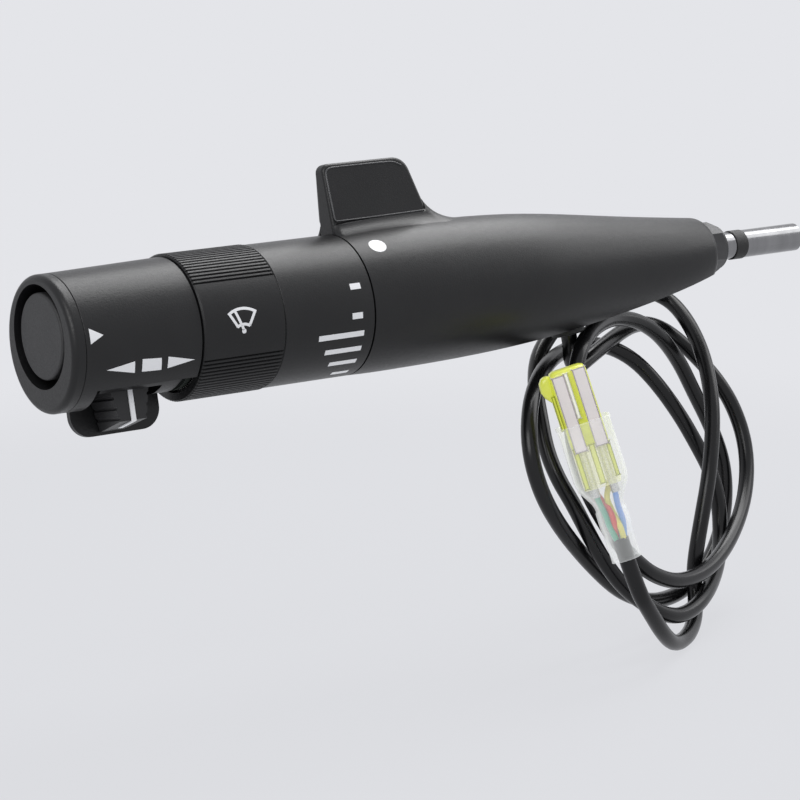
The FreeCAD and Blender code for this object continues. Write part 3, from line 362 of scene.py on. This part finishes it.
def on_surface(tree, x, angle, lift):
    """The point at x and an angle up from -Y, lifted off the surface."""
    out = Vector((0, -math.cos(math.radians(angle)), math.sin(math.radians(angle))))
    axis = mm(x, 0, TUBE_AXIS_Z)
    hit = tree.ray_cast(axis + out * RAY_START, -out)[0]
    return hit + out * lift * MM


def cells_in(start, end, up_per_mm=1):
    """How many cells the way from start to end takes."""
    return math.ceil(math.hypot(end[0] - start[0], (end[1] - start[1]) / up_per_mm) / CELL)


def between(start, end, steps):
    """Evenly spaced points from start to end."""
    return [(start[0] + (end[0] - start[0]) * i / steps, start[1] + (end[1] - start[1]) * i / steps)
            for i in range(steps + 1)]


def patch(mesh, tree, left, right):
    """Add a closed thin patch between two rows of (x, angle) points."""
    across = max(1, *(cells_in(a, b, DEGREES_PER_MM) for a, b in zip(left, right)))
    layers = []
    for lift in (PRINT_PROUD, -PRINT_SUNK):
        rows = []
        for start, end in zip(left, right):
            places = [on_surface(tree, *place, lift) for place in between(start, end, across)]
            rows.append([mesh.verts.new(place) for place in places])
        layers.append(rows)
    top, bottom = layers
    last = len(top) - 1
    for i in range(last):
        for j in range(across):
            mesh.faces.new((top[i][j], top[i + 1][j], top[i + 1][j + 1], top[i][j + 1]))
            mesh.faces.new((bottom[i][j], bottom[i][j + 1], bottom[i + 1][j + 1], bottom[i + 1][j]))
        mesh.faces.new((top[i][0], bottom[i][0], bottom[i + 1][0], top[i + 1][0]))
        mesh.faces.new((top[i][across], top[i + 1][across], bottom[i + 1][across], bottom[i][across]))
    for j in range(across):
        mesh.faces.new((top[0][j], top[0][j + 1], bottom[0][j + 1], bottom[0][j]))
        mesh.faces.new((top[last][j], bottom[last][j], bottom[last][j + 1], top[last][j + 1]))


def even(first, second):
    """Two sides of a patch with as many points each."""
    steps = max(2, *(cells_in(*side, DEGREES_PER_MM) for side in (first, second)))
    return between(*first, steps), between(*second, steps)


def finish_mesh(name, mesh, body, material, smooth=False):
    """A mesh object from what was built."""
    bmesh.ops.remove_doubles(mesh, verts=mesh.verts, dist=SAME_PLACE)
    bmesh.ops.dissolve_degenerate(mesh, edges=mesh.edges, dist=SAME_PLACE)
    bmesh.ops.recalc_face_normals(mesh, faces=mesh.faces)
    data = bpy.data.meshes.new(name)
    mesh.to_mesh(data)
    mesh.free()
    for face in data.polygons:
        face.use_smooth = smooth
    return give(added(name, data), body, material)


def shapes(name, body, tree, outlines):
    """Marks with three or four corners each."""
    mesh = bmesh.new()
    for outline in outlines:
        a, b, c, d = (*outline, outline[2]) if len(outline) == 3 else outline
        patch(mesh, tree, *even((a, b), (d, c)))
    return finish_mesh(name, mesh, body, WHITE)


# Marks on the head: a small triangle near the button, and a bar between two triangles by the rocker
HEAD_MARKS = [
    ((-223.8, 7.6), (-220.1, 1.0), (-223.8, -5.2)),
    ((-211.7, -23.7), (-219.4, -28.5), (-211.4, -34.0)),
    ((-209.6, -22.7), (-204.2, -23.7), (-203.9, -34.3), (-209.4, -33.8)),
    ((-202.3, -23.4), (-194.7, -28.8), (-202.2, -33.6)),
]
shapes("head_marks", "stalk", surface("head_cap", "end_bezel"), HEAD_MARKS)

# Scale on the collar: two dashes, as start, end and angle, and four bars of growing length, as start
# and angle
COLLAR_RADIUS = 18.7
DASH_WIDE, BAR_WIDE = 1.6, 1.5
DASHES = [(-147.5, -144.3, 12.7), (-148.0, -144.8, -10.8)]
SCALE_BARS = [(-158.1, -25.7), (-155.4, -39.4), (-152.7, -53.2), (-149.4, -69.3)]
BARS_END = -144.2


def bar(x0, x1, angle, wide):
    """Corners of a bar along the stalk; its width is in millimetres on the collar."""
    half = math.degrees(wide / 2 / COLLAR_RADIUS)
    return ((x0, angle - half), (x1, angle - half), (x1, angle + half), (x0, angle + half))


dashes = [bar(*dash, DASH_WIDE) for dash in DASHES]
bars = [bar(start, BARS_END, angle, BAR_WIDE) for start, angle in SCALE_BARS]
collar = surface("scale_collar")
shapes("scale_marks", "wiper_grip", collar, dashes + bars)

# Round index dot on the housing
DOT_X, DOT_ANGLE, DOT_RADIUS = -133.9, 46.7, 2.4
DOT_STEPS = 24
HOUSING_RADIUS = 19.0


def round_sides(x, angle, radius, on_radius, steps):
    """The two sides of a round mark on a surface of that radius."""
    left, right = [], []
    for step in range(steps + 1):
        turn_by = math.pi * step / steps
        along = x - radius * math.cos(turn_by)
        half = math.degrees(radius * math.sin(turn_by) / on_radius)
        left.append((along, angle - half))
        right.append((along, angle + half))
    return left, right


shell = surface("main_housing")
dot = bmesh.new()
patch(dot, shell, *round_sides(DOT_X, DOT_ANGLE, DOT_RADIUS, HOUSING_RADIUS, DOT_STEPS))
finish_mesh("index_dot", dot, "stalk", WHITE)

# Wiper pictogram on the ring's plain panel, drawn as strokes (across, up) in millimetres: a fan between
# two arcs and two sides, and the wiper's arm with its round pivot
PICTO_X, PICTO_ANGLE, STROKE = -180.6, -1.4, 0.72
RING_RADIUS = 18.95
FAN_APEX = (-0.35, -4.6)
FAN_ARCS = ((7.35, 18), (3.35, 8))
FAN_SIDES = (-31.0, 31.0)
FAN_OVERRUN = 3
WIPER_ARM = ((-2.45, 2.45), (-0.35, -2.7))
PIVOT = (-0.3, -3.0)
PIVOT_RADIUS, PIVOT_STEPS = 0.62, 12


def fan_point(radius, angle):
    """A point round the fan's apex; the angle is from straight up, in degrees."""
    lean = math.radians(angle)
    return FAN_APEX[0] + radius * math.sin(lean), FAN_APEX[1] + radius * math.cos(lean)


def on_panel(across, up):
    """A place of the pictogram as a place on the ring."""
    return PICTO_X + across, PICTO_ANGLE + math.degrees(up / RING_RADIUS)


def stroke(mesh, tree, points):
    """A line of even width through the points."""
    left_side, right_side = [], []
    for index, point in enumerate(points):
        before = points[max(index - 1, 0)]
        after = points[min(index + 1, len(points) - 1)]
        along = Vector((after[0] - before[0], after[1] - before[1])).normalized()
        for side, row in ((-1, left_side), (1, right_side)):
            half = side * STROKE / 2
            row.append(on_panel(point[0] - along.y * half, point[1] + along.x * half))
    patch(mesh, tree, left_side, right_side)


def straight(start, end):
    """Points a cell apart on a straight line of the pictogram."""
    return between(start, end, max(2, cells_in(start, end)))


ring_face = surface("grip_ring")
picto = bmesh.new()
first, last = FAN_SIDES[0] - FAN_OVERRUN, FAN_SIDES[1] + FAN_OVERRUN
for radius, steps in FAN_ARCS:
    angles = [first + (last - first) * i / steps for i in range(steps + 1)]
    stroke(picto, ring_face, [fan_point(radius, angle) for angle in angles])
for angle in FAN_SIDES:
    stroke(picto, ring_face, straight(*(fan_point(radius, angle) for radius, _ in FAN_ARCS)))
stroke(picto, ring_face, straight(*WIPER_ARM))
patch(picto, ring_face, *round_sides(*on_panel(*PIVOT), PIVOT_RADIUS, RING_RADIUS, PIVOT_STEPS))
finish_mesh("wiper_pictogram", picto, "wiper_grip", WHITE)

# The plug is built in its own axes
RING_STEPS = 40
SQUARENESS = 5.0
BEVEL_STEPS, BEVEL_PROFILE = 3, 0.5


def at_plug(across, back, down):
    """A place given across, back and down the plug, in millimetres."""
    return PLUG_TOP + plug_across * across + plug_back * back + plug_down * down


def rounded_bar(name, centre, sizes, bevel, material, slot):
    """A small bar with rounded edges; centre and sizes are across, back and down the plug."""
    mesh = bmesh.new()
    bmesh.ops.create_cube(mesh, size=1.0)
    for vertex in mesh.verts:
        vertex.co = at_plug(*(vertex.co[i] * sizes[i] + centre[i] for i in range(3))) * MM
    bmesh.ops.bevel(mesh, geom=mesh.edges[:], offset=bevel * MM, segments=BEVEL_STEPS, affect="EDGES",
                    profile=BEVEL_PROFILE)
    return finish_mesh(name, mesh, "stalk", material, smooth=True)


def ring_at(z, half_across, half_back, square, aside=0.0, thin=0.0):
    """A rounded outline across the plug, moved aside and thinned by a wall."""
    places = []
    for step in range(RING_STEPS):
        angle = 2 * math.pi * step / RING_STEPS
        c, s = math.cos(angle), math.sin(angle)
        across = math.copysign(abs(c) ** (2 / square), c) * (half_across - thin) + aside
        back = math.copysign(abs(s) ** (2 / square), s) * (half_back - thin)
        places.append(at_plug(across, back, z) * MM)
    return places


def lofted(name, stations, material, wall=0.0):
    """A form through rounded outlines down the plug: solid, or an open skin with that wall."""
    mesh = bmesh.new()
    outlines = [ring_at(*station) for station in stations]
    if wall:
        outlines += [ring_at(*station, thin=wall) for station in reversed(stations)]
    rings = [[mesh.verts.new(place) for place in outline] for outline in outlines]
    pairs = list(zip(rings, rings[1:]))
    if wall:
        pairs.append((rings[-1], rings[0]))
    else:
        mesh.faces.new(rings[0])
        mesh.faces.new(rings[-1])
    for upper, lower in pairs:
        for i in range(RING_STEPS):
            j = (i + 1) % RING_STEPS
            mesh.faces.new((upper[i], upper[j], lower[j], lower[i]))
    return finish_mesh(name, mesh, "stalk", material, smooth=True)


# Mating end of the plug, its pale clear body, and the latch at its side. Each station is how far down
# the plug, half across, half back, its squareness, and how far it stands aside.
BODY_WALL = 0.5
plug_shell = lofted("plug_shell", [
    (0.0, 4.1, 3.4, 4.0), (0.25, 4.7, 3.9, 4.0), (0.9, 5.1, 4.25, 4.5), (2.5, 5.2, 4.35, SQUARENESS),
    (20.6, 5.2, 4.35, SQUARENESS), (21.4, 5.1, 4.25, SQUARENESS),
], PLUG)
plug_body = lofted("plug_body", [
    (21.0, 5.15, 4.3, SQUARENESS), (26.0, 5.2, 4.35, SQUARENESS), (32.4, 5.2, 4.35, SQUARENESS),
    (33.0, 5.0, 4.2, SQUARENESS),
], PLUG_BODY, wall=BODY_WALL)
latch = lofted("plug_latch", [
    (0.6, 0.7, 1.9, 3.0, 5.9), (0.9, 1.2, 2.3, 3.0, 6.1), (2.0, 1.7, 2.5, 3.5, 6.4),
    (4.4, 1.8, 2.5, 3.5, 6.5), (6.2, 1.3, 2.4, 3.0, 6.3), (7.6, 0.6, 2.2, 3.0, 5.8),
    (8.0, 0.4, 2.0, 3.0, 5.6),
], PLUG)
# Bars on the plug: name, centre and sizes across, back and down it, how round, and finish
ARM_BAR = ("plug_latch_arm", (5.6, 0.0, 11.0), (0.9, 4.6, 9.6), 0.3, PLUG)
INLAY_BARS = [
    ("plug_channel_left", (2.95, -4.2, 11.8), (3.4, 0.9, 21.2), 0.4, LILAC),
    ("plug_channel_right", (-2.95, -4.2, 11.4), (3.5, 0.9, 21.6), 0.4, LILAC),
    ("plug_ridge", (0.75, -4.7, 7.2), (1.0, 1.2, 12.6), 0.3, RIDGE),
    ("plug_rib_left", (4.45, -3.9, 26.8), (1.3, 0.8, 11.4), 0.3, PLUG),
    ("plug_rib_middle", (-0.1, -3.9, 26.6), (1.5, 0.8, 11.0), 0.3, PLUG),
    ("plug_rib_right", (-4.5, -3.9, 26.4), (1.1, 0.8, 9.6), 0.3, PLUG),
]
latch_arm = rounded_bar(*ARM_BAR, "plug_clear")
inlays = [rounded_bar(*sizes, "plug_clear") for sizes in INLAY_BARS]
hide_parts("plug_housing")
for piece in (plug_body, latch, latch_arm):
    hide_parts("plug_housing")

# Clear boot: a lip, the wide end, a shoulder and the snug round end with its step
BOOT_WALL = 0.45
boot = lofted("boot_skin", [
    (15.0, 7.5, 5.6, SQUARENESS), (15.7, 7.55, 5.65, SQUARENESS), (16.3, 7.25, 5.4, SQUARENESS),
    (23.0, 7.3, 5.45, SQUARENESS), (30.5, 7.35, 5.5, 4.5), (33.0, 6.9, 5.3, 4.0), (35.2, 5.6, 4.8, 3.0),
    (37.2, 4.5, 4.3, 2.4), (38.6, 4.1, 4.05, 2.0), (39.4, 4.0, 4.0, 2.0), (40.0, 4.3, 4.3, 2.0),
    (43.0, 4.35, 4.35, 2.0), (45.2, 4.3, 4.3, 2.0), (45.7, 4.1, 4.1, 2.0), (50.0, 4.1, 4.1, 2.0),
    (53.4, 4.1, 4.1, 2.0), (54.0, 4.15, 4.15, 2.0),
], BOOT, wall=BOOT_WALL)
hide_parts("plug_boot")

# Coloured wires, twisted on their way to the cable's cut end; across, back and down the plug
WIRE_DIAMETER = 1.6
WIRE_WAYS = {
    "wire_green": (
        (2.7, -2.1, 31.5), (2.7, -2.0, 34.5), (2.5, -1.7, 37.5), (1.9, -1.5, 40.5), (1.9, -1.7, 43.5),
        (1.4, -1.3, 46.5), (0.9, -0.75, 49.5)),
    "wire_red": (
        (2.7, 2.1, 31.5), (2.4, 1.7, 34.5), (1.4, 0.5, 37.5), (0.3, -1.3, 40.0), (0.3, -2.1, 43.0),
        (0.8, -0.3, 46.5), (0.9, 0.75, 49.5)),
    "wire_yellow": (
        (-2.7, 2.1, 31.5), (-1.4, 0.9, 34.0), (0.3, -0.9, 36.5), (-0.2, 0.3, 40.0), (-0.6, -1.0, 43.0),
        (-1.0, -2.1, 46.0), (-0.8, -0.75, 49.5)),
    "wire_blue": (
        (-2.7, -2.1, 31.5), (-2.7, -2.1, 34.0), (-2.2, -2.2, 37.0), (-2.0, -1.6, 40.0),
        (-2.3, -0.6, 43.0), (-1.7, 0.4, 46.5), (-0.8, 0.75, 49.5)),
}
for node, way in WIRE_WAYS.items():
    strand = smooth_cord(node + "_strand", [at_plug(*point) for point in way], WIRE_DIAMETER * MM)
    give(strand, "stalk", WIRES[node])
    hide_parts(node)

round(curve_length(cable), 3)

# Paddle: its two faces lean together as they rise, and its tail leans forward
PADDLE_HEAD_X, PADDLE_TAIL_X = -140.5, -107.3
PADDLE_ROOT_Z, PADDLE_HALF = 17.0, 4.0
LEAN_FACE, LEAN_TAIL = 0.1126, 0.374
PADDLE_CORNER = 2.5
ABOVE = 60

# Skirt at the paddle's root: it rises and reaches least at the head and most round the tail
SKIRT_RISE, SKIRT_REACH = (3.0, 6.5), (4.4, 8.5)
FLARE_LEAD = 0.6
FACE_RISE, FACE_REACH = 0.1, 0.2
FACE_STEPS, CURVE_STEPS = 16, 10
FOOT_SUNK = 0.03
BEND_OUT, BEND_UNDER = 0.3, 0.6
CREST_SUNK, TAIL_CREST_SUNK, HEAD_CREST_SUNK = 0.05, 0.4, 0.9
HEAD_FADE = 14
ROOT_IN, ROOT_DOWN = 0.4, 1.2
STRAIGHT_ON = 1e-6


def paddle_half(z):
    """Half the paddle's thickness at that height."""
    return PADDLE_HALF - (z - PADDLE_ROOT_Z) * LEAN_FACE


def paddle_wall(along, facing, z):
    """A point of the paddle's wall: a run along its face, then round its tail edge."""
    half = paddle_half(z)
    tail = PADDLE_TAIL_X - (z - PADDLE_ROOT_Z) * LEAN_TAIL
    corner = min(PADDLE_CORNER, half)
    start = tail - corner
    x = PADDLE_HEAD_X + (start - PADDLE_HEAD_X) * along + corner * facing.x
    side = math.copysign(1, facing.y) if abs(facing.y) > STRAIGHT_ON else 0
    return Vector((x, side * (half - corner) + corner * facing.y, z))


def housing_top(place):
    """Height of the housing's skin over that place."""
    return shell.ray_cast(mm(place.x, place.y, ABOVE), Vector((0, 0, -1)))[0].z / MM


def skirt_stations():
    """How far along the face, and which way it faces, round the paddle from head to head."""
    found = [(i / FACE_STEPS, Vector((0, -1, 0))) for i in range(FACE_STEPS + 1)]
    for i in range(1, FACE_STEPS):
        angle = math.radians(-90 + 180 * i / FACE_STEPS)
        found.append((1.0, Vector((math.cos(angle), math.sin(angle), 0))))
    return found + [(i / FACE_STEPS, Vector((0, 1, 0))) for i in range(FACE_STEPS, -1, -1)]


def part_way(ends, part):
    """The value that lies that part of the way between two ends."""
    return ends[0] + (ends[1] - ends[0]) * part


def skirt_section(along, facing):
    """The skirt's outline there: a hollow curve from its crest to its foot, and a root in the wall."""
    tailward = facing.x if facing.x > 0 else 0.0
    near = max(0.0, along * (1 + FLARE_LEAD) - FLARE_LEAD)
    rise = part_way(SKIRT_RISE, max(tailward, FACE_RISE * near))
    reach = part_way(SKIRT_REACH, max(tailward, FACE_REACH * near))
    root = paddle_wall(along, facing, PADDLE_ROOT_Z)
    foot = root + facing * reach
    foot.z = housing_top(foot) - FOOT_SUNK
    bend = root + facing * BEND_OUT
    bend.z = housing_top(root + facing * BEND_UNDER)
    sunk = CREST_SUNK + TAIL_CREST_SUNK * tailward + HEAD_CREST_SUNK * max(0.0, 1 - along * HEAD_FADE)
    crest = paddle_wall(along, facing, bend.z + rise) - facing * sunk
    section = []
    for i in range(CURVE_STEPS + 1):
        t = i / CURVE_STEPS
        section.append(crest * (1 - t) ** 2 + bend * 2 * t * (1 - t) + foot * t ** 2)
    section.append(root - facing * ROOT_IN + Vector((0, 0, -ROOT_DOWN)))
    return section


skirt = bmesh.new()
sections = []
for along, facing in skirt_stations():
    sections.append([skirt.verts.new(point * MM) for point in skirt_section(along, facing)])
for first, second in zip(sections, sections[1:]):
    for i in range(len(first)):
        j = (i + 1) % len(first)
        skirt.faces.new((first[i], first[j], second[j], second[i]))
skirt.faces.new(sections[0])
skirt.faces.new(sections[-1])
finish_mesh("paddle_skirt", skirt, "stalk", HOUSING, smooth=True)

# Fine raised edge round both faces of the paddle, lighter than the housing as a painted highlight:
# along the stalk and up, in millimetres
EDGE_WAY = [
    (-111.2, 20.15), (-120.0, 20.0), (-130.0, 19.85), (-138.6, 19.8), (-139.7, 19.9), (-139.8, 21.2),
    (-139.8, 27.0), (-139.8, 31.2), (-139.7, 33.2), (-138.5, 34.0), (-136.4, 34.1), (-128.0, 34.1),
    (-120.0, 34.1), (-117.4, 33.9), (-115.6, 32.8),
]
EDGE_RADIUS, EDGE_SUNK, EDGE_FINENESS = 0.22, 0.02, 4
edges = round_curve("paddle_edge", EDGE_RADIUS * MM, EDGE_FINENESS)
for side in (-1, 1):
    add_line(edges, [(x, side * (paddle_half(z) - EDGE_SUNK), z) for x, z in EDGE_WAY])
edge_piece = added("paddle_edge", edges)
# Its lighter colour is a painted highlight along the paddle's edge, not wear
EDGE_HIGHLIGHT_FINISH = grained("edge_painted_highlight", (0.05, 0.05, 0.052), (0.08, 0.08, 0.083), 0.30, 1800, 0.000008)
give(edge_piece, "stalk", EDGE_HIGHLIGHT_FINISH)

# The button's rubber return dome, which flattens as the button goes in, as its own copy of the CAD mesh
# in rubber
dome = added("return_dome_skin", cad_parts["return_dome"].data.copy())
dome.data.materials.clear()
give(dome, "stalk", RUBBER)
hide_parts("return_dome")
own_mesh(dome)

# Floor under the coil, tilted with the camera; it fades out into the plain pale surroundings
BACKDROP = (0.776, 0.783, 0.815)
FLOOR_NORMAL = Vector((0.0, -0.208, 0.978)).normalized()
FLOOR_MIDDLE = mm(-90, 40, 0)
FADE_START, FLOOR_RADIUS = 0.24, 0.42
FLOOR_SIDES = 96
FLOOR_COLOUR, FLOOR_GLOW = (0.055, 0.056, 0.058), 0.86


def turned_towards(direction):
    """The turn that points Z in that direction."""
    return direction.to_track_quat("Z", "Y").to_matrix().to_4x4()


lowest = min(mm(*point).dot(FLOOR_NORMAL) for point in cable_route) - CABLE_DIAMETER / 2
floor_mesh = bmesh.new()
bmesh.ops.create_circle(floor_mesh, cap_ends=True, segments=FLOOR_SIDES, radius=FLOOR_RADIUS)
floor_data = bpy.data.meshes.new("floor")
floor_mesh.to_mesh(floor_data)
floor_mesh.free()
floor = added("floor", floor_data)
middle = FLOOR_MIDDLE + FLOOR_NORMAL * (lowest - FLOOR_MIDDLE.dot(FLOOR_NORMAL))
floor.matrix_world = Matrix.Translation(middle) @ turned_towards(FLOOR_NORMAL)

floor_material = bpy.data.materials.new("pale_floor")
floor_material.use_nodes = True
tree = floor_material.node_tree
tree.nodes.clear()
output = tree.nodes.new("ShaderNodeOutputMaterial")
matte = tree.nodes.new("ShaderNodeBsdfDiffuse")
matte.inputs["Color"].default_value = (*FLOOR_COLOUR, 1)
glow = tree.nodes.new("ShaderNodeEmission")
glow.inputs["Color"].default_value = (*BACKDROP, 1)
glow.inputs["Strength"].default_value = FLOOR_GLOW
both = tree.nodes.new("ShaderNodeAddShader")
open_air = tree.nodes.new("ShaderNodeBsdfTransparent")
blend = tree.nodes.new("ShaderNodeMixShader")
spot = tree.nodes.new("ShaderNodeTexCoord")
distance = tree.nodes.new("ShaderNodeVectorMath")
distance.operation = "LENGTH"
tree.links.new(spot.outputs["Object"], distance.inputs[0])
fade = ranged(tree, distance.outputs["Value"], (FADE_START, FLOOR_RADIUS), (0, 1))
fade.interpolation_type = "SMOOTHSTEP"
tree.links.new(fade.outputs["Result"], blend.inputs["Fac"])
tree.links.new(matte.outputs["BSDF"], both.inputs[0])
tree.links.new(glow.outputs["Emission"], both.inputs[1])
tree.links.new(both.outputs["Shader"], blend.inputs[1])
tree.links.new(open_air.outputs["BSDF"], blend.inputs[2])
tree.links.new(blend.outputs["Shader"], output.inputs["Surface"])
floor_data.materials.append(floor_material)

# Camera, transmission and glossy rays see the backdrop, and all others the light of the air
AIR_COLOUR, AIR_LIGHT = (0.9, 0.93, 1.0), 0.35
world = bpy.data.worlds.new("studio")
bpy.context.scene.world = world
world.use_nodes = True
tree = world.node_tree
tree.nodes.clear()
output = tree.nodes.new("ShaderNodeOutputWorld")
surroundings = tree.nodes.new("ShaderNodeBackground")
surroundings.inputs["Color"].default_value = (*BACKDROP, 1)
air = tree.nodes.new("ShaderNodeBackground")
air.inputs["Color"].default_value = (*AIR_COLOUR, 1)
air.inputs["Strength"].default_value = AIR_LIGHT
ray = tree.nodes.new("ShaderNodeLightPath")
sees_backdrop = ray.outputs["Is Camera Ray"]
for kind in ("Is Transmission Ray", "Is Glossy Ray"):
    either = tree.nodes.new("ShaderNodeMath")
    either.operation = "MAXIMUM"
    tree.links.new(sees_backdrop, either.inputs[0])
    tree.links.new(ray.outputs[kind], either.inputs[1])
    sees_backdrop = either.outputs["Value"]
mix = tree.nodes.new("ShaderNodeMixShader")
tree.links.new(sees_backdrop, mix.inputs["Fac"])
tree.links.new(air.outputs["Background"], mix.inputs[1])
tree.links.new(surroundings.outputs["Background"], mix.inputs[2])
tree.links.new(mix.outputs["Shader"], output.inputs["Surface"])

# Soft lamps: place and what each faces in millimetres, size in metres, and watts
LAMPS = [
    ("overhead", (170, 40, 540), (-20, 0, 0), 0.50, 3.9),
    ("left_front", (-620, -420, 330), (-150, 0, -10), 0.45, 2.2),
    ("right_rim", (420, -160, 260), (-40, 0, -20), 0.35, 0.9),
]
for name, at, towards, wide, power in LAMPS:
    lamp_data = bpy.data.lights.new(name, "AREA")
    lamp_data.shape = "SQUARE"
    lamp_data.size = wide
    lamp_data.energy = power
    lamp = added(name, lamp_data)
    lamp.matrix_world = Matrix.Translation(mm(*at)) @ turned_towards(mm(*at) - mm(*towards))
